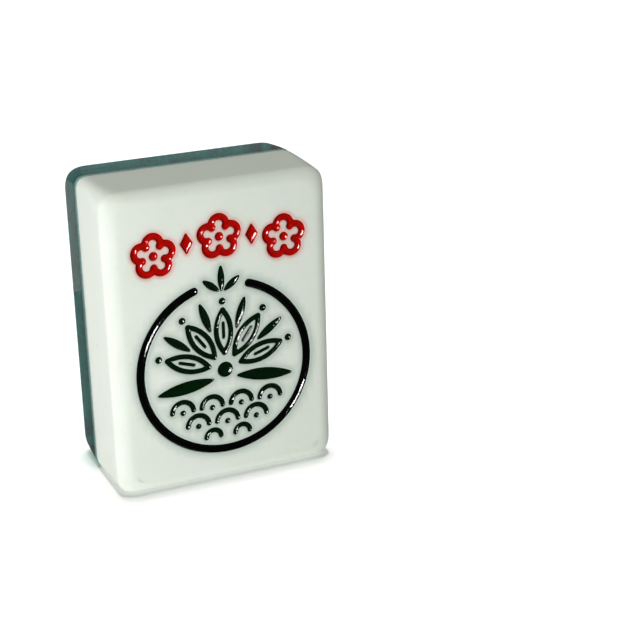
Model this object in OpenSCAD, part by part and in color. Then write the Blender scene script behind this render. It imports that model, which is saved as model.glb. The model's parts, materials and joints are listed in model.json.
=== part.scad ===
/* [Tile] */
// Height of the tile as it stands on its short end
tile_h = 30; // [24:0.5:40]
// Width across the face
tile_w = 22.3; // [18:0.1:30]
// Thickness from the engraved face to the back
tile_d = 13.2; // [11:0.1:20]
// Thickness of the clear back cover
cover_t = 4.55; // [3:0.05:6]
// Thickness of the patterned film under the cover
film_t = 0.15; // [0.1:0.05:0.3]
// Thickness of the pale bond sheet between film and face block
bond_t = 0.5; // [0.2:0.05:0.8]

/* [Edges] */
// Corner radius where the block meets the cover
corner_seam = 1.1; // [0.4:0.05:2]
// Corner radius at the front face
corner_front = 1.6; // [0.8:0.1:3]
// Corner radius at the back face
corner_back = 2.6; // [1:0.1:4]
// How far the front edge rounds in across the face at the sides
round_front_x = 1.5; // [0.5:0.05:2]
// How far the front edge rounds in across the face at top and bottom
round_front_z = 1.2; // [0.5:0.05:2]
// How deep the front rounding runs
round_front_y = 1.35; // [0.5:0.05:2]
// How far the back edge rounds in, all round
round_back = 1.5; // [0.5:0.05:2]

/* [Engraving] */
// Depth of the engraved channels
cut_depth = 0.5; // [0.3:0.05:0.8]
// How far the paint lies below the face
paint_drop = 0.16; // [0.05:0.01:0.25]
// Width of the black ring's channel
ring_line = 0.85; // [0.6:0.05:1.2]
// Width of the red channels
red_line = 0.72; // [0.5:0.02:0.8]
// Width of the green channels
green_line = 0.54; // [0.4:0.02:0.6]
// Width of the fine green veins
vein_line = 0.36; // [0.3:0.02:0.4]
// Radius of the black ring, to the middle of its channel
ring_r = 8.5; // [8.3:0.1:8.6]
// Height of the ring's centre above the bottom end
ring_z = 11.7; // [11:0.1:12]
// Half of the opening at the top of the ring, in degrees
ring_gap = 19; // [15:1:25]
// Height of the middle blossom's centre above the bottom end
blossom_z = 24.75; // [24.3:0.05:25]
// Distance from the middle blossom to the side ones
blossom_x = 6.5; // [6.4:0.1:6.6]
// How much lower the side blossoms sit
blossom_drop = 0.95; // [0.5:0.05:1]

/* [Hidden] */
y_front = -tile_d / 2;
y_back = tile_d / 2;
y_cover = y_back - cover_t;   // inner face of the cover
y_film = y_cover - film_t;    // front of the film
y_seam = y_film - bond_t;     // back of the face block
slab = 0.01;                  // thickness of one outline slice
steps = 6;                    // slices over a rounded edge
lotus_y = -0.3;               // the lotus's heart, from the ring's centre
tip_r = 0.15;                 // rounding at the points of leaves and diamonds
petal_turn = 36;              // from one petal to the next
wave_y = -3.95;               // base of the top row of waves, from the ring's centre
wave_pitch = 3;               // from one wave to the next
wave_row = 1.68;              // from one row of waves to the next
wave_r = 1.08;                // radius of a wave
$fn = 48;

// ---------- outlines ----------

// four corner discs of a rounded rectangle, w by h
module corners(w, h, r) {
  for (x = [-1, 1], z = [-1, 1])
    translate([x * (w / 2 - r), z * (h / 2 - r)]) circle(r, $fn = 32);
}

// the four corners of a thin slice of the tile at depth y, drawn in by dx at the sides and dz at the ends
module slice(y, dx, dz, r, dir = 1)
  translate([0, y + (dir > 0 ? slab : 0), tile_h / 2]) rotate([90, 0, 0])
    linear_extrude(slab) corners(tile_w - 2 * dx, tile_h - 2 * dz, r);

// straight prism with the seam's outline from y0 to y1
module seam_prism(y0, y1)
  translate([0, y1, tile_h / 2]) rotate([90, 0, 0]) linear_extrude(y1 - y0)
    union() {
      square([tile_w - 2 * corner_seam, tile_h], center = true);
      square([tile_w, tile_h - 2 * corner_seam], center = true);
      for (x = [-1, 1], z = [-1, 1])
        translate([x * (tile_w / 2 - corner_seam), z * (tile_h / 2 - corner_seam)]) circle(corner_seam);
    }

// value a fraction t of the way from a to b
function mixed(a, b, t) = a + (b - a) * t;

// outer form of the white block, one hull of slices
module front_form() hull() {
  slice(y_seam, 0, 0, corner_seam, -1);
  for (i = [0:steps]) {
    t = 90 * i / steps;
    slice(y_front + round_front_y * (1 - sin(t)), round_front_x * (1 - cos(t)), round_front_z * (1 - cos(t)),
          mixed(corner_front, corner_front - 0.1, (1 - cos(t))));
  }
}

// outer form of the clear cover, one hull of slices
module back_form() hull() {
  slice(y_cover, 0, 0, corner_seam);
  for (i = [0:steps]) {
    t = 90 * i / steps;
    slice(y_back - round_back * (1 - sin(t)), round_back * (1 - cos(t)), round_back * (1 - cos(t)),
          mixed(corner_back - 1, corner_back, (1 - cos(t))), -1);
  }
}

// ---------- engraved strokes, drawn flat with x across and y up ----------

// round end of a stroke of width w, a hair wider than the stroke so that their outlines cross cleanly
module cap(p, w) translate(p) circle(d = w * 1.02);

// straight band from a to b
module band(a, b, w) {
  d = b - a;
  translate(a) rotate(atan2(d[1], d[0])) translate([0, -w / 2]) square([norm(d), w]);
}

// straight stroke with round ends
module bar(a, b, w) {
  band(a, b, w);
  cap(a, w);
  cap(b, w);
}

// pie slice that covers the angles a0 to a1, under 180 degrees
module wedge(r, a0, a1) {
  m = (a0 + a1) / 2;
  k = 1.6 * r;
  polygon([[0, 0], [k * cos(a0), k * sin(a0)], [k * cos(m), k * sin(m)] * 1.6, [k * cos(a1), k * sin(a1)]]);
}

// curved band about the origin from angle a0 to a1
module arc(r, a0, a1, w) {
  if (a1 - a0 < 175)
    intersection() {
      difference() { circle(r + w / 2); circle(r - w / 2); }
      wedge(r + w, a0, a1);
    }
  else
    difference() { circle(r + w / 2); circle(r - w / 2); wedge(r + w, a1, a0 + 360); }
}

// curved stroke with round ends
module bow(r, a0, a1, w) {
  arc(r, a0, a1, w);
  for (a = [a0, a1]) cap([r * cos(a), r * sin(a)], w);
}

// radius of the arc that bulges by b over a length len
function bulge_r(len, b) = (len * len / 4 + b * b) / (2 * b);

// pointed petal outline from its root at the origin up to its tip, b wide each way
module petal(len, b, w) {
  r = bulge_r(len, b);
  s = asin(len / 2 / r);
  translate([-(r - b), len / 2]) arc(r, -s, s, w, $fn = 240);
  translate([r - b, len / 2]) arc(r, 180 - s, 180 + s, w, $fn = 240);
  cap([0, 0], w);
  cap([0, len], w);
}

// solid leaf from the origin up to its tip, b wide each way, with rounded tips
module leaf(len, b) {
  h = b - tip_r;
  r = bulge_r(len, h);
  petal(len, h, 2 * tip_r);
  intersection_for (s = [-1, 1]) translate([s * (r - h), len / 2]) circle(r, $fn = 240);
}

// solid diamond with rounded corners, a and b are its half width and half height inside the rounding
module solid_diamond(a, b) {
  p = [[a, 0], [0, b], [-a, 0], [0, -b]];
  polygon(p);
  for (i = [0:3]) {
    band(p[i], p[(i + 1) % 4], 2 * tip_r);
    cap(p[i], 2 * tip_r);
  }
}

// ---------- the motifs ----------

// black ring, open at the top
module ring_art() translate([0, ring_z]) bow(ring_r, 90 + ring_gap, 450 - ring_gap, ring_line, $fn = 120);

// five-lobed blossom outline with a round heart
module blossom_art() {
  for (i = [0:4]) rotate(90 + 72 * i) translate([1.18, 0]) bow(0.74, -112, 112, red_line);
  circle(d = 0.9);
}

module blossom_at(k) translate([k * blossom_x, blossom_z - abs(k) * blossom_drop]) blossom_art();

// two small solid diamonds between the blossoms
module diamond_art() for (s = [-1, 1])
  translate([s * blossom_x / 2, blossom_z - 0.24 * blossom_drop])
    solid_diamond(0.5, 0.86);

// five lotus petals that open upwards as a fan
module lotus_art() translate([0, ring_z + lotus_y])
  for (a = [-2:2]) rotate(petal_turn * a) translate([0, 1.75]) petal(4.3, 0.74, green_line);

// a fine vein in each petal
module vein_art() translate([0, ring_z + lotus_y])
  for (a = [-2:2]) rotate(petal_turn * a) bar([0, 3.3], [0, 4.75], vein_line);

// heart of the lotus
module seed_art() translate([0, ring_z + lotus_y]) circle(d = 1.6);

// slim solid buds in the gaps between the petal tips
module bud_art() translate([0, ring_z + lotus_y])
  for (a = [-1.5, -0.5, 0.5, 1.5]) rotate(petal_turn * a) translate([0, 4.35]) leaf(2.9, 0.42);

// a long solid leaf on each side under the lowest petals
module leaf_art() for (s = [0, 1]) mirror([s, 0])
  translate([1.3, ring_z + lotus_y - 0.85]) rotate(-97) leaf(5.5, 0.66);

// three small leaves in the ring's opening
module sprig_art() translate([0, ring_z + 7.5])
  for (a = [-52, 0, 52]) rotate(a) translate([0, a == 0 ? 0.25 : 0.45]) leaf(a == 0 ? 2.3 : 1.75, 0.36);

// rows of half-round waves in the lower part of the ring
module wave_art() translate([0, ring_z + wave_y]) {
  for (x = [-1.5, -0.5, 0.5, 1.5]) translate([x * wave_pitch, 0]) bow(wave_r, 4, 176, green_line);
  for (x = [-1, 0, 1]) translate([x * wave_pitch, -wave_row]) bow(wave_r, 4, 176, green_line);
  for (x = [-0.5, 0.5]) translate([x * wave_pitch, -2 * wave_row + 0.2]) bow(wave_r - 0.32, 4, 176, green_line);
}

// pearls beyond the petal tips and under the waves
module pearl_art() {
  translate([0, ring_z + lotus_y]) for (a = [-2:2]) rotate(petal_turn * a) translate([0, 6.95]) circle(d = 0.72);
  translate([0, ring_z + wave_y]) {
    for (x = [-1.5, -0.5, 0.5, 1.5]) translate([x * wave_pitch, -0.05]) circle(d = 0.6);
    for (x = [-1, 0, 1]) translate([x * wave_pitch, -wave_row - 0.05]) circle(d = 0.6);
  }
}

module all_art() {
  ring_art(); for (k = [-1, 0, 1]) blossom_at(k); diamond_art();
  lotus_art(); vein_art(); seed_art(); bud_art(); leaf_art(); sprig_art(); wave_art(); pearl_art();
}

// carries a flat drawing into the face, from depth d0 to depth d1 below it
module in_face(d0, d1) translate([0, y_front + d1, 0]) rotate([90, 0, 0]) linear_extrude(d1 - d0) children();
module paint() in_face(paint_drop, cut_depth) children();

// ---------- the pieces ----------

module face_block() color([0.9, 0.92, 0.88]) difference() {
  front_form();
  in_face(-0.5, cut_depth) all_art();
}
module bond_sheet() color([0.6, 0.67, 0.63]) seam_prism(y_seam, y_film);
module pattern_film() color([0.05, 0.45, 0.48]) seam_prism(y_film, y_cover);
module back_cover() color([0.35, 0.65, 0.65, 0.6]) back_form();
module ring_paint() color([0.02, 0.02, 0.02]) paint() ring_art();
module blossom_paint_left() color([0.78, 0.06, 0.04]) paint() blossom_at(-1);
module blossom_paint_middle() color([0.78, 0.06, 0.04]) paint() blossom_at(0);
module blossom_paint_right() color([0.78, 0.06, 0.04]) paint() blossom_at(1);
module diamond_paint() color([0.78, 0.06, 0.04]) paint() diamond_art();
module lotus_paint() color([0.02, 0.2, 0.08]) paint() lotus_art();
module vein_paint() color([0.02, 0.2, 0.08]) paint() vein_art();
module seed_paint() color([0.02, 0.2, 0.08]) paint() seed_art();
module bud_paint() color([0.02, 0.2, 0.08]) paint() bud_art();
module leaf_paint() color([0.02, 0.2, 0.08]) paint() leaf_art();
module sprig_paint() color([0.02, 0.2, 0.08]) paint() sprig_art();
module wave_paint() color([0.02, 0.2, 0.08]) paint() wave_art();
module pearl_paint() color([0.02, 0.2, 0.08]) paint() pearl_art();

face_block();
bond_sheet();
pattern_film();
back_cover();
ring_paint();
blossom_paint_left();
blossom_paint_middle();
blossom_paint_right();
diamond_paint();
lotus_paint();
vein_paint();
seed_paint();
bud_paint();
leaf_paint();
sprig_paint();
wave_paint();
pearl_paint();
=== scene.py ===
import json
import math

import bpy
import numpy as np
from mathutils import Matrix, Vector
from mathutils.geometry import delaunay_2d_cdt

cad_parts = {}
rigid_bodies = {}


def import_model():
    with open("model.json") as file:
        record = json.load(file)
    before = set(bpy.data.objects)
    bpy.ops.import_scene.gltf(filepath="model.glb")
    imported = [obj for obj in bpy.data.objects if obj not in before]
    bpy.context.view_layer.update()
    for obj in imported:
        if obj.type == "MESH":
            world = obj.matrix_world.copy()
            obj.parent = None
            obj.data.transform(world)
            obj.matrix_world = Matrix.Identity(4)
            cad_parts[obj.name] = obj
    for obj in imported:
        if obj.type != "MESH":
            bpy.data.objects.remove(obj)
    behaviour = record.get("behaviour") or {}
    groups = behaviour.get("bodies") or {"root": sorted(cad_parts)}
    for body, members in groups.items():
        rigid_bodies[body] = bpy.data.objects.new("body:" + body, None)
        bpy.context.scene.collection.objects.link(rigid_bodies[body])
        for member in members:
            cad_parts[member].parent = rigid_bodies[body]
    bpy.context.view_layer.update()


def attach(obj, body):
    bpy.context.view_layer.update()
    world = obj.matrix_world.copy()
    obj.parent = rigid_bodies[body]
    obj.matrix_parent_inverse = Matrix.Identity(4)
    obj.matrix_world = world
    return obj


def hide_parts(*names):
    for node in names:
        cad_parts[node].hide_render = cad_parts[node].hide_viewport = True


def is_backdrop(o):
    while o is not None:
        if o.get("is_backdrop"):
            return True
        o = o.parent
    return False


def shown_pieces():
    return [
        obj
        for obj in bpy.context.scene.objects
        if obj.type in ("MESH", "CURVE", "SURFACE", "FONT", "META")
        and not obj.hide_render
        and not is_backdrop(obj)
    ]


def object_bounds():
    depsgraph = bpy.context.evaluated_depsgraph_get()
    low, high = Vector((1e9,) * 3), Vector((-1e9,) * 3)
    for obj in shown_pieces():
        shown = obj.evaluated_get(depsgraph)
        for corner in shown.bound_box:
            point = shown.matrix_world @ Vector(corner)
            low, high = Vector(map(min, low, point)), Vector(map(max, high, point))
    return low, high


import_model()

scene = bpy.context.scene
MM = 0.001

# ---------------------------------------------------------------------------------------------------------------
# sizes in millimetres, the same as the construction's
# ---------------------------------------------------------------------------------------------------------------
W, H, D = 22.3, 30.0, 13.2
Y_FRONT, Y_BACK = -D / 2, D / 2
Y_COVER = Y_BACK - 4.55
Y_FILM = Y_COVER - 0.15
Y_SEAM = Y_FILM - 0.5
R_BACK = 2.6
IN_X, IN_Z, IN_Y, IN_BACK = 1.5, 1.2, 1.35, 1.5
RING_LINE, RED_LINE, GREEN_LINE, VEIN_LINE = 0.85, 0.72, 0.54, 0.36
RING_R, RING_Z, RING_GAP = 8.5, 11.7, 19.0
BLOSSOM_Z, BLOSSOM_X, BLOSSOM_DROP = 24.75, 6.5, 0.95
LOTUS_Z = RING_Z - 0.3
TIP_R = 0.15
PETAL_TURN = 36.0
WAVE_Z, WAVE_PITCH, WAVE_ROW, WAVE_R = RING_Z - 3.95, 3.0, 1.68, 1.08


# ---------------------------------------------------------------------------------------------------------------
# distances to the engraved strokes, negative inside a stroke
# ---------------------------------------------------------------------------------------------------------------
def moved(x, z, at, turn=0.0):
    """x, z in a frame that stands at `at`, turned by `turn` degrees"""
    a = math.radians(turn)
    u, v = x - at[0], z - at[1]
    return u * math.cos(a) + v * math.sin(a), -u * math.sin(a) + v * math.cos(a)


def sd_disc(x, z, c, r):
    return np.hypot(x - c[0], z - c[1]) - r


def sd_arc(x, z, c, r, a0, a1, half):
    """round-ended arc about c from angle a0 to a1, in degrees, half its width"""
    u, v = x - c[0], z - c[1]
    rho = np.hypot(u, v)
    ang = np.degrees(np.arctan2(v, u))
    on = np.mod(ang - a0, 360.0) <= (a1 - a0)
    d = np.abs(rho - r)
    for a in (a0, a1):
        e = np.hypot(u - r * math.cos(math.radians(a)), v - r * math.sin(math.radians(a)))
        d = np.where(on, d, e) if a == a0 else np.where(on, d, np.minimum(d, e))
    return d - half


def sd_bar(x, z, a, b, half):
    ax, az = a
    bx, bz = b[0] - ax, b[1] - az
    t = np.clip(((x - ax) * bx + (z - az) * bz) / (bx * bx + bz * bz), 0, 1)
    return np.hypot(x - ax - t * bx, z - az - t * bz) - half


def bulge_r(length, b):
    return (length * length / 4 + b * b) / (2 * b)


def sd_petal(x, z, length, b, half):
    r = bulge_r(length, b)
    s = math.degrees(math.asin(length / 2 / r))
    left = sd_arc(x, z, (-(r - b), length / 2), r, -s, s, half)
    right = sd_arc(x, z, (r - b, length / 2), r, 180 - s, 180 + s, half)
    return smooth_min(left, right, 0.10)


def sd_leaf(x, z, length, b):
    h = b - TIP_R
    r = bulge_r(length, h)
    d, half = r - h, length / 2
    px, pz = np.abs(x), np.abs(z - half)
    tip = np.hypot(px, pz - half)
    side = np.hypot(px + d, pz) - r
    return np.where((pz - half) * d > px * half, tip, side) - TIP_R


def sd_diamond(x, z, a, b):
    px, pz = np.abs(x), np.abs(z)
    t = np.clip(((px - a) * (-a) + pz * b) / (a * a + b * b), 0, 1)
    edge = np.hypot(px - a + a * t, pz - b * t)
    inside = px / a + pz / b < 1
    return np.where(inside, -edge, edge) - TIP_R


def smooth_min(a, b, k):
    h = np.maximum(k - np.abs(a - b), 0) / k
    return np.minimum(a, b) - h * h * k / 4


def blossom(x, z):
    lobes = []
    for i in range(5):
        u, v = moved(x, z, (0, 0), 90 + 72 * i)
        lobes.append(sd_arc(u, v, (1.18, 0), 0.74, -112, 112, RED_LINE / 2))
    d = lobes[0]
    for lobe in lobes[1:]:
        d = smooth_min(d, lobe, 0.12)
    return np.minimum(d, sd_disc(x, z, (0, 0), 0.45))


def f_ring(x, z):
    return sd_arc(x, z, (0, RING_Z), RING_R, 90 + RING_GAP, 450 - RING_GAP, RING_LINE / 2)


def f_blossom(k):
    return lambda x, z: blossom(*moved(x, z, (k * BLOSSOM_X, BLOSSOM_Z - abs(k) * BLOSSOM_DROP)))


def f_diamonds(x, z):
    return np.minimum(*[sd_diamond(x - s * BLOSSOM_X / 2, z - BLOSSOM_Z + 0.24 * BLOSSOM_DROP, 0.5, 0.86) for s in (-1, 1)])


def about_lotus(shape, turns):
    """the least of shape(u, v) over frames turned about the lotus's heart"""
    def f(x, z):
        return np.minimum.reduce([shape(*moved(x, z, (0, LOTUS_Z), PETAL_TURN * a)) for a in turns])
    return f


f_lotus = about_lotus(lambda u, v: sd_petal(u, v - 1.75, 4.3, 0.74, GREEN_LINE / 2), (-2, -1, 0, 1, 2))
f_veins = about_lotus(lambda u, v: sd_bar(u, v, (0, 3.3), (0, 4.75), VEIN_LINE / 2), (-2, -1, 0, 1, 2))
f_buds = about_lotus(lambda u, v: sd_leaf(u, v - 4.35, 2.9, 0.42), (-1.5, -0.5, 0.5, 1.5))


def f_seed(x, z):
    return sd_disc(x, z, (0, LOTUS_Z), 0.8)


def f_leaves(x, z):
    return sd_leaf(*moved(np.abs(x), z, (1.3, LOTUS_Z - 0.85), -97), 5.5, 0.66)


def f_sprig(x, z):
    d = None
    for a in (-52, 0, 52):
        u, v = moved(x, z, (0, RING_Z + 7.5), a)
        e = sd_leaf(u, v - (0.25 if a == 0 else 0.45), 2.3 if a == 0 else 1.75, 0.36)
        d = e if d is None else np.minimum(d, e)
    return d


WAVES = [(k * WAVE_PITCH, WAVE_Z, WAVE_R) for k in (-1.5, -0.5, 0.5, 1.5)]
WAVES += [(k * WAVE_PITCH, WAVE_Z - WAVE_ROW, WAVE_R) for k in (-1, 0, 1)]
WAVES += [(k * WAVE_PITCH, WAVE_Z - 2 * WAVE_ROW + 0.2, WAVE_R - 0.32) for k in (-0.5, 0.5)]


def f_waves(x, z):
    return np.minimum.reduce([sd_arc(x, z, (a, b), r, 4, 176, GREEN_LINE / 2) for a, b, r in WAVES])


def f_pearls(x, z):
    far = [moved(x, z, (0, LOTUS_Z), PETAL_TURN * a) for a in (-2, -1, 0, 1, 2)]
    d = [sd_disc(u, v, (0, 6.95), 0.36) for u, v in far]
    d += [sd_disc(x, z, (a, b - 0.05), 0.3) for a, b, _ in WAVES[:7]]
    return np.minimum.reduce(d)


# name, node it stands for, half width that its hollow is shaped by, distance, colour family
STROKES = [
    ("ring_enamel", "ring_paint", RING_LINE / 2, f_ring, "black"),
    ("blossom_enamel_left", "blossom_paint_left", RED_LINE / 2, f_blossom(-1), "red"),
    ("blossom_enamel_middle", "blossom_paint_middle", RED_LINE / 2, f_blossom(0), "red"),
    ("blossom_enamel_right", "blossom_paint_right", RED_LINE / 2, f_blossom(1), "red"),
    ("diamond_enamel", "diamond_paint", 0.40, f_diamonds, "red"),
    ("lotus_enamel", "lotus_paint", GREEN_LINE / 2, f_lotus, "green"),
    ("vein_enamel", "vein_paint", VEIN_LINE / 2, f_veins, "green"),
    ("seed_enamel", "seed_paint", 0.42, f_seed, "green"),
    ("bud_enamel", "bud_paint", 0.40, f_buds, "green"),
    ("leaf_enamel", "leaf_paint", 0.42, f_leaves, "green"),
    ("sprig_enamel", "sprig_paint", 0.34, f_sprig, "green"),
    ("wave_enamel", "wave_paint", GREEN_LINE / 2, f_waves, "green"),
    ("pearl_enamel", "pearl_paint", 0.32, f_pearls, "green"),
]
HALVES = np.array([s[2] for s in STROKES])


def field(x, z):
    """(distance to the nearest stroke, the same as a share of its half width, which stroke)"""
    d = np.stack([s[3](x, z) for s in STROKES])
    u = d / HALVES.reshape((-1,) + (1,) * (d.ndim - 1))
    which = d.argmin(0)
    return d.min(0), u.min(0), which


# ---------------------------------------------------------------------------------------------------------------
# contours of the distance, as closed loops
# ---------------------------------------------------------------------------------------------------------------
CASES = {1: ("BL",), 2: ("RB",), 3: ("RL",), 4: ("TR",), 6: ("TB",), 7: ("TL",), 8: ("LT",), 9: ("BT",),
         11: ("RT",), 12: ("LR",), 13: ("BR",), 14: ("LB",)}
SADDLES = {5: (("BL", "TR"), ("TL", "BR")), 10: (("RB", "LT"), ("RT", "LB"))}


def loops_at(values, level, x0, z0, step):
    g = values - level
    g = np.where(g == 0, 1e-9, g)
    nz, nx = g.shape
    inside = g < 0
    case = inside[:-1, :-1] * 1 + inside[:-1, 1:] * 2 + inside[1:, 1:] * 4 + inside[1:, :-1] * 8
    n = nz * nx

    def edge_id(side, j, i):
        return {"B": j * nx + i, "T": (j + 1) * nx + i, "L": n + j * nx + i, "R": n + j * nx + i + 1}[side]

    after = {}
    for c, ways in CASES.items():
        j, i = np.nonzero(case == c)
        for way in ways:
            after.update(zip(edge_id(way[0], j, i).tolist(), edge_id(way[1], j, i).tolist()))
    for c, (apart, joined) in SADDLES.items():
        for j, i in zip(*np.nonzero(case == c)):
            middle = g[j, i] + g[j, i + 1] + g[j + 1, i] + g[j + 1, i + 1]
            for way in joined if middle < 0 else apart:
                after[int(edge_id(way[0], j, i))] = int(edge_id(way[1], j, i))

    def point(e):
        vertical, k = divmod(e, n)
        j, i = divmod(k, nx)
        a, b = g[j, i], (g[j + 1, i] if vertical else g[j, i + 1])
        t = a / (a - b)
        return (x0 + step * (i + (0 if vertical else t)), z0 + step * (j + (t if vertical else 0)))

    found = []
    while after:
        first, e = after.popitem()
        chain = [first]
        while e != first:
            chain.append(e)
            e = after.pop(e)
        found.append(np.array([point(e) for e in chain]))
    found.sort(key=lambda p: (round(p[:, 0].min(), 4), round(p[:, 1].min(), 4), len(p)))
    return found


def even(loop, spacing):
    """the loop with points at even steps"""
    closed = np.vstack([loop, loop[:1]])
    s = np.concatenate([[0], np.cumsum(np.hypot(*np.diff(closed, axis=0).T))])
    count = max(10, int(round(s[-1] / spacing)))
    t = np.arange(count) * s[-1] / count
    return np.stack([np.interp(t, s, closed[:, 0]), np.interp(t, s, closed[:, 1])], 1)


def settle(points, level, by_share):
    """the points moved onto the level"""
    which = 1 if by_share else 0
    e = 1e-3
    for _ in range(2):
        x, z = points[:, 0], points[:, 1]
        f = field(x, z)[which] - level
        gx = (field(x + e, z)[which] - field(x - e, z)[which]) / (2 * e)
        gz = (field(x, z + e)[which] - field(x, z - e)[which]) / (2 * e)
        g2 = np.maximum(gx * gx + gz * gz, 0.25)
        shift = np.clip(f / g2, -0.02, 0.02)
        points = points - np.stack([shift * gx, shift * gz], 1)
    return points


# ---------------------------------------------------------------------------------------------------------------
# heights below the face, in millimetres
# ---------------------------------------------------------------------------------------------------------------
LIP, LIP_DROP = 0.07, 0.035
RIM = -0.05
RIM_DROP = 0.075


def paint_drop(u, half):
    """the enamel's hollow surface, from its rim to the middle of the stroke"""
    s = np.clip(1 + (u - RIM) / (1 + RIM), 0, 1)
    return RIM_DROP + 0.62 * half * (1 - s ** 2.2)


def groove_drop(d, u, half):
    s = np.clip(1 + (u - RIM) / (1 + RIM), 0, 1)
    under = paint_drop(u, half) + 0.11 * np.sqrt(np.maximum(0, 1 - s * s))
    t = np.clip(1 - d / LIP, 0, 1)
    outside = LIP_DROP * t ** 2
    wall = LIP_DROP + (RIM_DROP - LIP_DROP) * np.clip(u / RIM, 0, 1)
    return np.where(d > 0, outside, np.where(u > RIM, wall, under))


# ---------------------------------------------------------------------------------------------------------------
# outlines
# ---------------------------------------------------------------------------------------------------------------
PER_CORNER, PER_TOP, PER_SIDE = 14, 14, 20


def outline(dx, dz, r, power=2.0):
    """rounded rectangle of the tile's section drawn in by dx and dz, anticlockwise seen from the front; a power above 2
    lets the corners run out softly"""
    a, b = W / 2 - dx, H / 2 - dz
    pts = []
    for cx, cz, start, count in ((a - r, b - r, 0, PER_TOP), (-(a - r), b - r, 90, PER_SIDE),
                                 (-(a - r), -(b - r), 180, PER_TOP), (a - r, -(b - r), 270, PER_SIDE)):
        for k in range(PER_CORNER + 1):
            t = math.radians(start + 90.0 * k / PER_CORNER)
            c, s = math.cos(t), math.sin(t)
            rho = r / (abs(c) ** power + abs(s) ** power) ** (1 / power)
            pts.append((cx + rho * c, cz + rho * s))
        last = pts[-1]
        nxt = {0: (-(a - r), b), 90: (-a, -(b - r)), 180: (a - r, -b), 270: (a, b - r)}[start]
        for k in range(1, count):
            pts.append((last[0] + (nxt[0] - last[0]) * k / count, last[1] + (nxt[1] - last[1]) * k / count))
    p = np.array(pts)
    p[:, 1] += H / 2
    return p


class Builder:
    def __init__(self):
        self.points, self.faces = [], []
        self.count = 0

    def add(self, points):
        first = self.count
        self.points.append(np.asarray(points, float))
        self.count += len(points)
        return list(range(first, self.count))

    def ring(self, y, dx, dz, r, power=2.0):
        p = outline(dx, dz, r, power)
        return self.add(np.stack([p[:, 0], np.full(len(p), y), p[:, 1]], 1))

    def join(self, near, far):
        """a strip between two rings, the first one nearer the front"""
        n = len(near)
        for k in range(n):
            m = (k + 1) % n
            self.faces.append((near[k], far[k], far[m], near[m]))

    def object(self, name, material, attributes=None, sharp=40.0):
        mesh = bpy.data.meshes.new(name)
        pts = np.vstack(self.points) * MM
        mesh.from_pydata(pts.tolist(), [], self.faces)
        for key, values in (attributes or {}).items():
            a = mesh.attributes.new(key, "FLOAT", "POINT")
            a.data.foreach_set("value", np.asarray(values, np.float32))
        mesh.validate()
        mesh.shade_smooth()
        mesh.set_sharp_from_angle(angle=math.radians(sharp))
        mesh.materials.append(material)
        obj = bpy.data.objects.new(name, mesh)
        scene.collection.objects.link(obj)
        return obj


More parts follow.
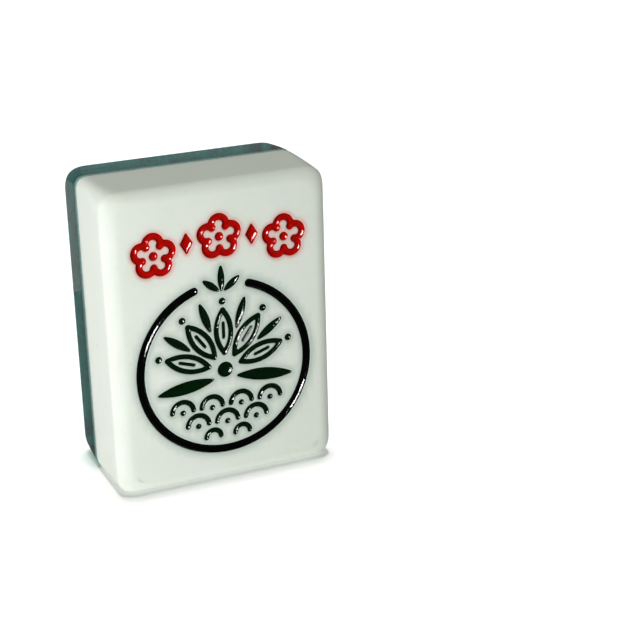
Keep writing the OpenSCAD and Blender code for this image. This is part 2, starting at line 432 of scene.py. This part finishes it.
# ---------------------------------------------------------------------------------------------------------------
# node helpers
# ---------------------------------------------------------------------------------------------------------------
class Nodes:
    def __init__(self, name):
        self.material = bpy.data.materials.new(name)
        self.material.use_nodes = True
        self.tree = self.material.node_tree
        self.tree.nodes.clear()
        self.out = self.tree.nodes.new("ShaderNodeOutputMaterial")

    def new(self, kind, **settings):
        node = self.tree.nodes.new(kind)
        for key, value in settings.items():
            setattr(node, key, value)
        return node

    def link(self, a, b):
        self.tree.links.new(a, b)

    def put(self, node, key, value):
        socket = node.inputs[key]
        if isinstance(value, bpy.types.NodeSocket):
            self.link(value, socket)
        else:
            socket.default_value = value

    def shader(self, **values):
        node = self.new("ShaderNodeBsdfPrincipled")
        for key, value in values.items():
            self.put(node, key.replace("_", " "), value)
        return node

    def millimetres(self, scale=(1, 1, 1), offset=(0, 0, 0)):
        """the object's own coordinates in millimetres, scaled"""
        coords = self.new("ShaderNodeTexCoord")
        m = self.new("ShaderNodeMapping")
        m.inputs["Scale"].default_value = [1000.0 * s for s in scale]
        m.inputs["Location"].default_value = offset
        self.link(coords.outputs["Object"], m.inputs["Vector"])
        return m.outputs["Vector"]

    def noise(self, vector, scale, detail=3.0, rough=0.5, distortion=0.0):
        n = self.new("ShaderNodeTexNoise")
        self.link(vector, n.inputs["Vector"])
        n.inputs["Scale"].default_value = scale
        n.inputs["Detail"].default_value = detail
        n.inputs["Roughness"].default_value = rough
        n.inputs["Distortion"].default_value = distortion
        return n

    def voronoi(self, vector, scale, feature="F1", randomness=1.0, dims="3D", smooth=None):
        n = self.new("ShaderNodeTexVoronoi", feature=feature, voronoi_dimensions=dims)
        self.link(vector, n.inputs["Vector"])
        n.inputs["Scale"].default_value = scale
        n.inputs["Randomness"].default_value = randomness
        if smooth is not None:
            n.inputs["Smoothness"].default_value = smooth
        return n

    def math(self, op, a, b=None, c=None, clamp=False):
        n = self.new("ShaderNodeMath", operation=op, use_clamp=clamp)
        for k, value in enumerate((a, b, c)):
            if value is not None:
                self.put(n, k, value)
        return n.outputs[0]

    def range(self, value, low, high, to_low=0.0, to_high=1.0, smooth=True):
        n = self.new("ShaderNodeMapRange", interpolation_type="SMOOTHSTEP" if smooth else "LINEAR")
        self.put(n, "Value", value)
        for key, v in (("From Min", low), ("From Max", high), ("To Min", to_low), ("To Max", to_high)):
            n.inputs[key].default_value = v
        return n.outputs[0]

    def mix(self, factor, a, b, mode="MIX"):
        n = self.new("ShaderNodeMix", data_type="RGBA", blend_type=mode)
        self.put(n, 0, factor)
        for k, value in ((6, a), (7, b)):
            if isinstance(value, bpy.types.NodeSocket):
                self.link(value, n.inputs[k])
            else:
                n.inputs[k].default_value = (*value, 1.0)
        return n.outputs[2]

    def bump(self, height, distance, strength=1.0, normal=None):
        n = self.new("ShaderNodeBump")
        n.inputs["Strength"].default_value = strength
        n.inputs["Distance"].default_value = distance
        self.link(height, n.inputs["Height"])
        if normal is not None:
            self.link(normal, n.inputs["Normal"])
        return n.outputs["Normal"]

    def attribute(self, name):
        return self.new("ShaderNodeAttribute", attribute_name=name).outputs["Fac"]

    def warp(self, vector, by, amount):
        """the vector pushed about by a noise's colour, by up to half the amount each way"""
        centred = self.new("ShaderNodeVectorMath", operation="SUBTRACT")
        self.link(by.outputs["Color"], centred.inputs[0])
        centred.inputs[1].default_value = (0.5, 0.5, 0.5)
        moved_by = self.new("ShaderNodeVectorMath", operation="MULTIPLY_ADD")
        self.link(centred.outputs[0], moved_by.inputs[0])
        moved_by.inputs[1].default_value = (amount, amount, 0.0)
        self.link(vector, moved_by.inputs[2])
        return moved_by.outputs[0]

    def scaled(self, vector, by):
        n = self.new("ShaderNodeVectorMath", operation="MULTIPLY")
        self.link(vector, n.inputs[0])
        n.inputs[1].default_value = by
        return n.outputs[0]

    def finish(self, shader):
        self.link(shader.outputs[0] if hasattr(shader, "outputs") else shader, self.out.inputs["Surface"])
        return self.material


# ---------------------------------------------------------------------------------------------------------------
# materials
# ---------------------------------------------------------------------------------------------------------------
FILM_BASE = ((0.0004, 0.38, 0.51), (0.0016, 0.51, 0.63))
FILM_DARK, FILM_THREAD, FILM_GREY = (0.0, 0.13, 0.20), (0.085, 0.78, 0.88), (0.12, 0.60, 0.82)
FILM_EDGE, FILM_RIM = (0.19, 0.25, 0.225), (0.0, 0.10, 0.12)
DIM = 150.0
DIM_COLOR = (0.167, 0.433, 0.333, 1.0)


def resin():
    """milky white moulded resin, polished, with faint mottling and fine specks; near the strokes a painted glow and a
    painted shade in the paint's colours stand in for the paint's light scattered through the resin
    """
    n = Nodes("ivory_resin")
    mm = n.millimetres()
    cloud = n.noise(mm, 0.18, 3, 0.55).outputs["Fac"]
    grain = n.noise(mm, 2.2, 4, 0.6).outputs["Fac"]
    base = n.mix(n.range(cloud, 0.3, 0.7), (0.83, 0.86, 0.803), (0.80, 0.84, 0.772))
    base = n.mix(n.range(grain, 0.35, 0.75, 0.0, 0.35), base, (0.86, 0.88, 0.82))
    # painted glow: the base is pushed towards red near the red strokes, standing in for their light scattered through
    # the resin
    base = n.mix(n.attribute("painted_red_glow"), base, (0.78, 0.05, 0.04))
    # painted shade: the base is pushed towards dark green-grey near the black and green strokes
    base = n.mix(n.attribute("painted_dark_shade"), base, (0.02, 0.17, 0.12))
    speck = n.voronoi(mm, 0.17, "F1", 1.0)
    dot = n.range(speck.outputs["Distance"], 0.010, 0.022, 1.0, 0.0)
    base = n.mix(n.math("MULTIPLY", dot, 0.65), base, (0.20, 0.19, 0.17))
    rough = n.range(grain, 0.3, 0.7, 0.30, 0.36)
    wear = n.noise(mm, 0.7, 2, 0.5).outputs["Fac"]
    normal = n.bump(wear, 0.00001, 0.2)
    s = n.shader(Base_Color=base, Roughness=rough, IOR=1.5, Normal=normal,
                 Subsurface_Weight=0.35, Subsurface_Scale=0.0008, Subsurface_Radius=(1.0, 0.9, 0.75),
                 Specular_IOR_Level=0.5)
    return n.finish(s)


def enamel(name, deep, rim, dark, waviness):
    """glossy paint, brushed into its channel and pooled along the middle; painted shade darkens its colour up the walls
    """
    n = Nodes(name)
    mm = n.millimetres()
    wall_shade_share = n.attribute("wall_shade_share")
    mottle = n.noise(mm, 1.6, 4, 0.6).outputs["Fac"]
    # painted shade: the darker rim colour runs up the channel walls, and the lighter middle colour sits where the paint
    # lies deepest
    base = n.mix(n.range(wall_shade_share, 0.05, 0.55), rim, deep)
    base = n.mix(n.range(mottle, 0.35, 0.75, 0.0, 0.45), base, dark)
    slow = n.noise(mm, 1.3, 2, 0.5).outputs["Fac"]
    quick = n.noise(mm, 3.4, 3, 0.55).outputs["Fac"]
    normal = n.bump(slow, 0.00010, waviness)
    normal = n.bump(quick, 0.00006, waviness, normal)
    s = n.shader(Base_Color=base, Roughness=n.range(mottle, 0.3, 0.8, 0.05, 0.10), IOR=1.5, Normal=normal)
    return n.finish(s)


def film():
    """printed teal film: a fine woven net of broken light threads round darker hearts"""
    n = Nodes("teal_net_film")
    split = n.new("ShaderNodeSeparateXYZ")
    n.link(n.millimetres(), split.inputs[0])
    plane = n.new("ShaderNodeCombineXYZ")
    n.link(split.outputs["X"], plane.inputs["X"])
    n.link(split.outputs["Z"], plane.inputs["Y"])
    p = n.warp(plane.outputs[0], n.noise(plane.outputs[0], 0.35, 2, 0.5), 0.7)
    p = n.warp(p, n.noise(p, 1.6, 2, 0.5), 0.24)
    cloud = n.noise(plane.outputs[0], 0.24, 4, 0.65).outputs["Fac"]
    blot = n.noise(p, 0.8, 3, 0.6).outputs["Fac"]
    fine = n.noise(p, 2.6, 2, 0.6).outputs["Fac"]
    at = n.new("ShaderNodeSeparateXYZ")
    n.link(p, at.inputs[0])
    pitch, phase = 1.22, 0.5
    across = n.math("PINGPONG", n.math("MULTIPLY_ADD", at.outputs["X"], pitch, phase), 0.5)
    along = n.math("PINGPONG", n.math("MULTIPLY_ADD", at.outputs["Y"], pitch, phase), 0.5)
    near = n.voronoi(p, pitch, "F1", 0.42, "2D").outputs["Distance"]
    stretch = n.noise(n.scaled(p, (2.2, 0.7, 1.0)), 1.0, 3, 0.6).outputs["Fac"]
    spread = n.noise(n.scaled(p, (0.7, 2.2, 1.0)), 1.0, 3, 0.6).outputs["Fac"]
    warpt = n.math("MULTIPLY", n.range(across, 0.03, 0.17, 1.0, 0.0), n.range(stretch, 0.44, 0.56, 0.0, 0.9))
    weft = n.math("MULTIPLY", n.range(along, 0.03, 0.18, 1.0, 0.0), n.range(spread, 0.50, 0.62, 0.0, 0.8))
    ring = n.range(n.math("ABSOLUTE", n.math("SUBTRACT", near, 0.38)), 0.03, 0.13, 1.0, 0.0)
    ring = n.math("MULTIPLY", ring, n.range(fine, 0.40, 0.58, 0.1, 1.0))
    thread = n.math("MAXIMUM", n.math("MAXIMUM", warpt, weft), ring)
    bead = n.voronoi(p, 2.4, "F1", 0.8, "2D").outputs["Distance"]
    bead = n.math("MULTIPLY", n.range(bead, 0.10, 0.26, 1.0, 0.0), n.range(blot, 0.46, 0.60, 0.0, 1.0))
    thread = n.math("MAXIMUM", thread, bead)
    pit = n.math("MULTIPLY", n.range(near, 0.05, 0.32, 1.0, 0.0), n.range(blot, 0.40, 0.60, 1.0, 0.10))
    hole = n.range(fine, 0.32, 0.43, 0.75, 0.0)
    base = n.mix(n.range(cloud, 0.38, 0.62), FILM_BASE[0], FILM_BASE[1])
    base = n.mix(n.range(blot, 0.38, 0.60, 0.55, 0.0), base, FILM_DARK)
    base = n.mix(n.math("MULTIPLY", n.math("MAXIMUM", pit, hole), 0.85), base, FILM_DARK)
    base = n.mix(n.math("MULTIPLY", thread, 0.85), base, FILM_THREAD)
    haze = n.noise(n.scaled(p, (1.0, 0.6, 1.0)), 0.45, 3, 0.5).outputs["Fac"]
    grey = n.math("MULTIPLY", n.math("MAXIMUM", thread, 0.35), n.range(haze, 0.54, 0.68, 0.0, 0.65))
    base = n.mix(grey, base, FILM_GREY)
    side = n.math("SUBTRACT", W / 2, n.math("ABSOLUTE", split.outputs["X"]))
    end = n.math("SUBTRACT", H / 2, n.math("ABSOLUTE", n.math("SUBTRACT", split.outputs["Z"], H / 2)))
    base = n.mix(n.range(n.math("MINIMUM", side, end), 0.0, 2.4, 0.75, 0.0), base, FILM_RIM)
    face = n.new("ShaderNodeSeparateXYZ")
    n.link(n.new("ShaderNodeNewGeometry").outputs["Normal"], face.inputs[0])
    base = n.mix(n.range(n.math("ABSOLUTE", face.outputs["Y"]), 0.3, 0.6, 1.0, 0.0), base, FILM_EDGE)
    s = n.shader(Base_Color=base, Roughness=0.5, Specular_IOR_Level=0.2)
    return n.finish(s)


def bond():
    """pale translucent bond layer, slightly uneven along its edge"""
    n = Nodes("pale_bond")
    mm = n.millimetres()
    streak = n.noise(n.millimetres(scale=(0.5, 6, 0.5)), 1.2, 4, 0.6).outputs["Fac"]
    spots = n.noise(mm, 2.4, 4, 0.65).outputs["Fac"]
    base = n.mix(n.range(streak, 0.3, 0.7), (0.20, 0.30, 0.28), (0.34, 0.43, 0.41))
    base = n.mix(n.range(spots, 0.45, 0.75, 0.0, 0.5), base, (0.10, 0.19, 0.18))
    normal = n.bump(spots, 0.00004, 0.6)
    s = n.shader(Base_Color=base, Roughness=0.42, IOR=1.46, Normal=normal, Subsurface_Weight=0.2,
                 Subsurface_Scale=0.0004, Subsurface_Radius=(0.8, 1.0, 1.0))
    return n.finish(s)


def acrylic():
    """clear cast acrylic, polished, with very faint wipe marks"""
    n = Nodes("clear_acrylic")
    mm = n.millimetres()
    wipe = n.noise(mm, 0.7, 4, 0.6).outputs["Fac"]
    normal = n.bump(wipe, 0.000006, 0.2)
    s = n.shader(Base_Color=(0.97, 0.99, 0.985, 1.0), Roughness=n.range(wipe, 0.35, 0.8, 0.0, 0.035),
                 IOR=1.49, Transmission_Weight=1.0, Normal=normal)
    clear = n.new("ShaderNodeBsdfTransparent")
    clear.inputs["Color"].default_value = (0.96, 0.98, 0.975, 1.0)
    path = n.new("ShaderNodeLightPath")
    soft = n.math("MAXIMUM", path.outputs["Is Shadow Ray"], path.outputs["Is Diffuse Ray"])
    both = n.new("ShaderNodeMixShader")
    n.link(soft, both.inputs[0])
    n.link(s.outputs[0], both.inputs[1])
    n.link(clear.outputs[0], both.inputs[2])
    dim = n.new("ShaderNodeVolumeAbsorption")
    dim.inputs["Color"].default_value = DIM_COLOR
    dim.inputs["Density"].default_value = DIM
    n.link(dim.outputs[0], n.out.inputs["Volume"])
    return n.finish(both)


RESIN, FILM, BOND, ACRYLIC = resin(), film(), bond(), acrylic()
# each enamel: middle colour, rim colour darkened as painted shade up the walls, mottle colour, waviness
ENAMEL = {
    "black": enamel("black_enamel", (0.0015, 0.0020, 0.0016), (0.0010, 0.0012, 0.0010), (0.0006, 0.0007, 0.0006), 0.25),
    "red": enamel("red_enamel", (0.43, 0.0035, 0.002), (0.33, 0.003, 0.002), (0.30, 0.001, 0.001), 0.45),
    "green": enamel("green_enamel", (0.0022, 0.0125, 0.0028), (0.0012, 0.0070, 0.0020), (0.0006, 0.0045, 0.0010), 0.9),
}


# ---------------------------------------------------------------------------------------------------------------
# the face: one triangulation that the block and all enamel share
# ---------------------------------------------------------------------------------------------------------------
STEP = 0.04
X0, Z0 = -9.6, 1.2
nx, nz = int(round(19.2 / STEP)) + 1, int(round(27.6 / STEP)) + 1
gx, gz = np.meshgrid(X0 + STEP * np.arange(nx), Z0 + STEP * np.arange(nz))
grid_d, grid_u, _ = field(gx, gz)

loops = []
for level, by_share, spacing in ((0.40, False, 0.20), (0.20, False, 0.14), (0.11, False, 0.10), (LIP, False, 0.085),
                                 (LIP / 2, False, 0.08), (0.0, False, 0.08), (RIM, True, 0.08), (-0.16, True, 0.08),
                                 (-0.34, True, 0.08), (-0.56, True, 0.085), (-0.78, True, 0.09)):
    for loop in loops_at(grid_u if by_share else grid_d, level, X0, Z0, STEP):
        if np.hypot(*(loop.max(0) - loop.min(0))) < 0.12:
            continue
        pts = settle(even(loop, spacing), level, by_share)
        loops.append(pts)

SOFT_R, SOFT_POWER = 2.3, 3.0
SEAM_R, SEAM_POWER = 1.45, 2.7
COVER_R = 2.5
border = outline(IN_X, IN_Z, SOFT_R - 0.1, SOFT_POWER)
flat = [border]
edges = []
count = len(border)
edges += [(k, (k + 1) % count) for k in range(count)]
for pts in loops:
    flat.append(pts)
    edges += [(count + k, count + (k + 1) % len(pts)) for k in range(len(pts))]
    count += len(pts)
sx, sz = np.meshgrid(np.arange(-9.3, 9.31, 0.62), np.arange(1.55, 28.5, 0.62))
sx, sz = sx.ravel(), sz.ravel()
keep = field(sx, sz)[0] > 0.5
flat.append(np.stack([sx[keep], sz[keep]], 1))
flat = np.vstack(flat)
out_verts, out_edges, out_faces, orig_verts, _, _ = delaunay_2d_cdt(
    [Vector(p) for p in flat], edges, [], 0, 1e-5, True)
face_xy = np.array([tuple(v) for v in out_verts])
triangles = np.array([f for f in out_faces if len(f) == 3])
border_index = {}
for k, olds in enumerate(orig_verts):
    for o in olds:
        if o < len(border):
            border_index[o] = k
assert len(border_index) == len(border)
vd, vu, vw = field(face_xy[:, 0], face_xy[:, 1])
half = HALVES[vw]
centres = face_xy[triangles].mean(1)
_, cu, cw = field(centres[:, 0], centres[:, 1])
in_paint = cu < RIM

drop_block = groove_drop(vd, vu, half)
for k in border_index.values():
    drop_block[k] = 0.0
drop_paint = paint_drop(vu, half)
near = np.array([{"red": 0, "black": 1, "green": 1}[s[4]] for s in STROKES])
all_d = np.stack([s[3](face_xy[:, 0], face_xy[:, 1]) for s in STROKES])
red_d = all_d[near == 0].min(0)
dark_d = all_d[near == 1].min(0)
# painted glow and painted shade near the strokes: a red glow by distance to the red strokes, a dark green-grey shade by
# distance to the black and green ones
painted_red_glow = 0.42 * np.exp(-(np.maximum(red_d, 0) / 0.27) ** 2)
painted_dark_shade = 0.33 * np.exp(-(np.maximum(dark_d, 0) / 0.45) ** 2)

# ---------------------------------------------------------------------------------------------------------------
# the white block
# ---------------------------------------------------------------------------------------------------------------
b = Builder()
b.add(np.stack([face_xy[:, 0], Y_FRONT + drop_block, face_xy[:, 1]], 1))
b.faces += [tuple(t) for t in triangles.tolist()]
ring = [border_index[k] for k in range(len(border))]
ARC = 16
for i in range(ARC - 1, -1, -1):
    t = math.radians(90.0 * i / ARC)
    c, s = 1 - math.cos(t), 1 - math.sin(t)
    nxt = b.ring(Y_FRONT + IN_Y * s, IN_X * c, IN_Z * c, SOFT_R - 0.1 * c, SOFT_POWER)
    b.join(ring, nxt)
    ring = nxt
BEVEL = 0.05
y0 = Y_FRONT + IN_Y
for i in range(1, 13):
    t = i / 12
    y = y0 + (Y_SEAM - BEVEL - y0) * t
    back = 1 - (1 - (y - y0) / (Y_SEAM - y0)) ** 2
    r = SOFT_R + (SEAM_R - SOFT_R) * back
    nxt = b.ring(y, 0, 0, r, SOFT_POWER + (SEAM_POWER - SOFT_POWER) * back)
    b.join(ring, nxt)
    ring = nxt
for i in range(1, 4):
    t = math.radians(30 * i)
    nxt = b.ring(Y_SEAM - BEVEL * (1 - math.sin(t)), BEVEL * (1 - math.cos(t)), BEVEL * (1 - math.cos(t)), SEAM_R, SEAM_POWER)
    b.join(ring, nxt)
    ring = nxt
inner = b.ring(Y_SEAM, 0.4, 0.4, SEAM_R, SEAM_POWER)
b.join(ring, inner)
b.faces.append(tuple(reversed(inner)))
pad = b.count - len(face_xy)
# the block carries the painted red glow and the painted dark shade as point attributes
block = b.object("tile_block", RESIN, {"painted_red_glow": np.concatenate([painted_red_glow, np.zeros(pad)]),
                                       "painted_dark_shade": np.concatenate([painted_dark_shade, np.zeros(pad)])})
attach(block, "root")
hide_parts("face_block")

# ---------------------------------------------------------------------------------------------------------------
# enamel in the channels
# ---------------------------------------------------------------------------------------------------------------
for index, (name, node, _, _, family) in enumerate(STROKES):
    mine = triangles[in_paint & (cw == index)]
    used, local = np.unique(mine, return_inverse=True)
    local = local.reshape(-1, 3)
    x, z = face_xy[used, 0], face_xy[used, 1]
    n = len(used)
    pairs = {}
    for tri in local.tolist():
        for k in range(3):
            e = (tri[k], tri[(k + 1) % 3])
            if (e[1], e[0]) in pairs:
                del pairs[(e[1], e[0])]
            else:
                pairs[e] = True
    rim = np.zeros(n, bool)
    for e in pairs:
        rim[list(e)] = True
    top = Y_FRONT + drop_paint[used]
    bottom = Y_FRONT + drop_block[used] - 0.002
    bottom = np.maximum(bottom, top + 0.004)
    under = np.where(rim, np.arange(n), 0)
    m = Builder()
    m.add(np.stack([x, top, z], 1))
    low = np.nonzero(~rim)[0]
    ids = m.add(np.stack([x[low], bottom[low], z[low]], 1))
    under[low] = ids
    m.faces += [tuple(t) for t in local.tolist()]
    m.faces += [tuple(int(under[k]) for k in reversed(t)) for t in local.tolist() if not rim[t].all()]
    m.faces += [tuple(reversed(t)) for t in local.tolist() if rim[t].all()]
    # share of the way in from the rim, which sets the painted shade up the walls
    share = np.clip(-vu[used], 0, 1)
    obj = m.object(name, ENAMEL[family], {"wall_shade_share": np.concatenate([share, share[low]])}, sharp=60.0)
    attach(obj, "root")
    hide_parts(node)

# ---------------------------------------------------------------------------------------------------------------
# bond sheet, film and clear cover
# ---------------------------------------------------------------------------------------------------------------
def sheet(name, node, material, y0, y1, inset, bevel):
    m = Builder()
    inner = m.ring(y0, 0.4, 0.4, SEAM_R, SEAM_POWER)
    m.faces.append(tuple(inner))
    ring = inner
    for i in range(0, 4):
        t = math.radians(30 * i)
        nxt = m.ring(y0 + bevel * (1 - math.cos(t)), inset + bevel * (1 - math.sin(t)), inset + bevel * (1 - math.sin(t)), SEAM_R, SEAM_POWER)
        m.join(ring, nxt)
        ring = nxt
    for i in range(3, -1, -1):
        t = math.radians(30 * i)
        nxt = m.ring(y1 - bevel * (1 - math.cos(t)), inset + bevel * (1 - math.sin(t)), inset + bevel * (1 - math.sin(t)), SEAM_R, SEAM_POWER)
        m.join(ring, nxt)
        ring = nxt
    inner = m.ring(y1, 0.4, 0.4, SEAM_R, SEAM_POWER)
    m.join(ring, inner)
    m.faces.append(tuple(reversed(inner)))
    obj = m.object(name, material)
    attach(obj, "root")
    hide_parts(node)
    return obj


sheet("bond_layer", "bond_sheet", BOND, Y_SEAM, Y_FILM, 0.03, 0.02)
sheet("net_film", "pattern_film", FILM, Y_FILM, Y_COVER, 0.002, 0.003)

m = Builder()
SINK, LIP = 0.02, 0.012
inner = m.ring(Y_COVER - SINK, 0.4, 0.4, SEAM_R, SEAM_POWER)
m.faces.append(tuple(inner))
ring = inner
for i in range(0, 4):
    t = math.radians(30 * i)
    nxt = m.ring(Y_COVER - SINK + LIP * (1 - math.cos(t)), LIP * (1 - math.sin(t)), LIP * (1 - math.sin(t)), SEAM_R, SEAM_POWER)
    m.join(ring, nxt)
    ring = nxt
y0, y1 = Y_COVER - SINK + LIP, Y_BACK - IN_BACK
for i in range(1, 9):
    t = i / 8
    y = y0 + (y1 - y0) * t
    back = max(0.0, (y - Y_COVER) / (y1 - Y_COVER)) ** 1.7
    nxt = m.ring(y, 0, 0, SEAM_R + (COVER_R - SEAM_R) * back, SEAM_POWER + (SOFT_POWER - SEAM_POWER) * back)
    m.join(ring, nxt)
    ring = nxt
BACK_ARC = 28
for i in range(1, BACK_ARC + 1):
    t = math.radians(90.0 * i / BACK_ARC)
    c = 1 - math.cos(t)
    nxt = m.ring(Y_BACK - IN_BACK * (1 - math.sin(t)), IN_BACK * c, IN_BACK * c, COVER_R + (R_BACK - COVER_R) * c,
                 SOFT_POWER - 0.6 * c)
    m.join(ring, nxt)
    ring = nxt
inner = m.ring(Y_BACK, IN_BACK + 0.15, IN_BACK + 0.15, R_BACK - 0.15, SOFT_POWER - 0.6)
m.join(ring, inner)
m.faces.append(tuple(reversed(inner)))
cover = m.object("clear_cover", ACRYLIC)
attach(cover, "root")
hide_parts("back_cover")


# ---------------------------------------------------------------------------------------------------------------
# floor, light and camera
# ---------------------------------------------------------------------------------------------------------------
def floor():
    mesh = bpy.data.meshes.new("floor")
    s = 2.0
    mesh.from_pydata([(-s, -s, 0), (s, -s, 0), (s, s, 0), (-s, s, 0)], [], [(0, 1, 2, 3)])
    n = Nodes("floor_white")
    s = n.shader(Base_Color=(0.90, 0.90, 0.90, 1.0), Roughness=0.9, Specular_IOR_Level=0.0)
    mesh.materials.append(n.finish(s))
    obj = bpy.data.objects.new("floor", mesh)
    scene.collection.objects.link(obj)
    obj.visible_glossy = obj.visible_diffuse = obj.visible_shadow = False
    obj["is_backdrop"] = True
    return obj


def group(name, objects):
    made = bpy.data.collections.new(name)
    for o in objects:
        made.objects.link(o)
    return made


def area(name, azimuth, elevation, distance, size, strength, receivers, aim=(0, 0, 0.013), color=(1, 1, 1),
         glossy=True, diffuse=True):
    """a soft light whose full-on light makes a white surface's brightness equal to strength"""
    a, e = math.radians(azimuth), math.radians(elevation)
    back = Vector((math.sin(a) * math.cos(e), -math.cos(a) * math.cos(e), math.sin(e)))
    light = bpy.data.lights.new(name, "AREA")
    light.shape = "RECTANGLE"
    light.size, light.size_y = size
    light.energy = strength * math.pi * math.pi * distance * distance
    light.color = color
    obj = bpy.data.objects.new(name, light)
    obj.location = Vector(aim) + back * distance
    obj.rotation_mode = "QUATERNION"
    obj.rotation_quaternion = (-back).to_track_quat("-Z", "Y")
    obj.visible_camera = False
    obj.visible_glossy, obj.visible_diffuse = glossy, diffuse
    scene.collection.objects.link(obj)
    obj.light_linking.receiver_collection = receivers
    return obj


def panel(name, azimuth, elevation, distance, size, radiance, receivers, **more):
    """the same kind of light, given by how bright it looks in a mirror"""
    return area(name, azimuth, elevation, distance, size,
                radiance * size[0] * size[1] / (math.pi * distance * distance), receivers, **more)


on_tile = group("lit_tile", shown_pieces())
on_floor = group("lit_floor", [floor()])
on_block = group("lit_block", [block])
on_paint = group("lit_paint", [o for o in on_tile.objects if o.name.find("enamel") >= 0])
on_gloss = group("lit_gloss", [o for o in on_tile.objects if o != block])
on_body = group("lit_body", [o for o in on_tile.objects if o.name.find("enamel") < 0])
on_cover = group("lit_cover", [cover])

area("key_body", -48, 9, 0.10, (0.028, 0.036), 0.50, on_body, glossy=False)
area("key_paint", -46, 12, 0.20, (0.040, 0.050), 1.00, on_paint, glossy=False)
area("key_window", -46, 12, 0.20, (0.060, 0.075), 3.40, on_paint, diffuse=False)
area("side_soft", -130, 5, 0.5, (0.2, 0.2), 0.365, on_block, color=(1.0, 0.975, 1.0), glossy=False)
area("top_soft", 0, 82, 0.5, (0.2, 0.2), 0.22, on_block, glossy=False)
area("back_window", -160, 33, 0.35, (0.030, 0.045), 0.80, on_gloss, glossy=False)
panel("floor_glow", 0, -90, 0.25, (1.5, 1.5), 1.06, on_body, aim=(0, 0, 0), color=(0.96, 1.0, 0.97), glossy=False)
panel("back_glint", 160.75, -15.9, 0.30, (0.0066, 0.0036), 30.0, on_cover, aim=(-0.0071, 0.0066, 0.0285),
      diffuse=False)
panel("front_sheen", 23, 24, 0.50, (0.24, 0.24), 0.25, on_cover, diffuse=False)
panel("rim_left", -170, -2, 0.50, (0.354, 0.80), 0.19, on_cover, color=(1.0, 0.76, 0.72), diffuse=False)
panel("rim_upper", -165.3, -12, 0.50, (0.24, 0.12), 0.20, on_cover, aim=(-0.01115, 0.004, 0.018),
      color=(1.0, 0.68, 0.60), diffuse=False)
panel("rim_top", 158.5, 20, 0.50, (0.203, 0.30), 0.25, on_cover, color=(1.0, 0.84, 0.82), diffuse=False)
area("corner_soft", -50, -20, 0.05, (0.02, 0.02), 0.08, on_block, aim=(-0.0111, -0.0066, 0.003), glossy=False)
area("overhead", 166, 87.9, 4.0, (0.5, 0.5), 0.97, on_floor, aim=(0, 0, 0))
area("floor_front", -19, 20, 3.6, (0.3, 0.3), 0.12, on_floor, aim=(0, 0, 0))

world = bpy.data.worlds.new("studio")
scene.world = world
world.cycles_visibility.glossy = False
world.use_nodes = True
wt = world.node_tree
coords = wt.nodes.new("ShaderNodeTexCoord")
split = wt.nodes.new("ShaderNodeSeparateXYZ")
ramp = wt.nodes.new("ShaderNodeMapRange")
wt.links.new(coords.outputs["Generated"], split.inputs[0])
wt.links.new(split.outputs["Z"], ramp.inputs["Value"])
for key, value in (("From Min", -0.15), ("From Max", 0.40), ("To Min", 0.05), ("To Max", 0.36)):
    ramp.inputs[key].default_value = value
wt.nodes["Background"].inputs["Color"].default_value = (0.95, 1.0, 0.90, 1.0)
wt.links.new(ramp.outputs[0], wt.nodes["Background"].inputs["Strength"])

pitch, roll, yaw = 0.3542918, -0.024194998, 0.424262758
shift = Vector((-11.4954545, 13.4129127, 163.680159))
swap = Matrix(((1, 0, 0), (0, 0, -1), (0, 1, 0)))
to_camera = swap @ Matrix.Rotation(pitch, 3, "X") @ Matrix.Rotation(roll, 3, "Y") @ Matrix.Rotation(yaw, 3, "Z")
place = -(to_camera.transposed() @ shift) * MM
turn = to_camera.transposed() @ Matrix(((1, 0, 0), (0, -1, 0), (0, 0, -1)))
cam = bpy.data.cameras.new("camera")
cam.sensor_width = 36.0
cam.lens = 36.0 * 1605.341 / 640
cam.clip_start, cam.clip_end = 0.005, 20
camera = bpy.data.objects.new("camera", cam)
camera.matrix_world = Matrix.Translation(place) @ turn.to_4x4()
scene.collection.objects.link(camera)
scene.camera = camera

scene.view_settings.view_transform = "Standard"
scene.view_settings.look = "None"
scene.cycles.use_denoising = True
scene.cycles.transmission_bounces = 16
scene.cycles.max_bounces = 20

low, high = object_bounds()
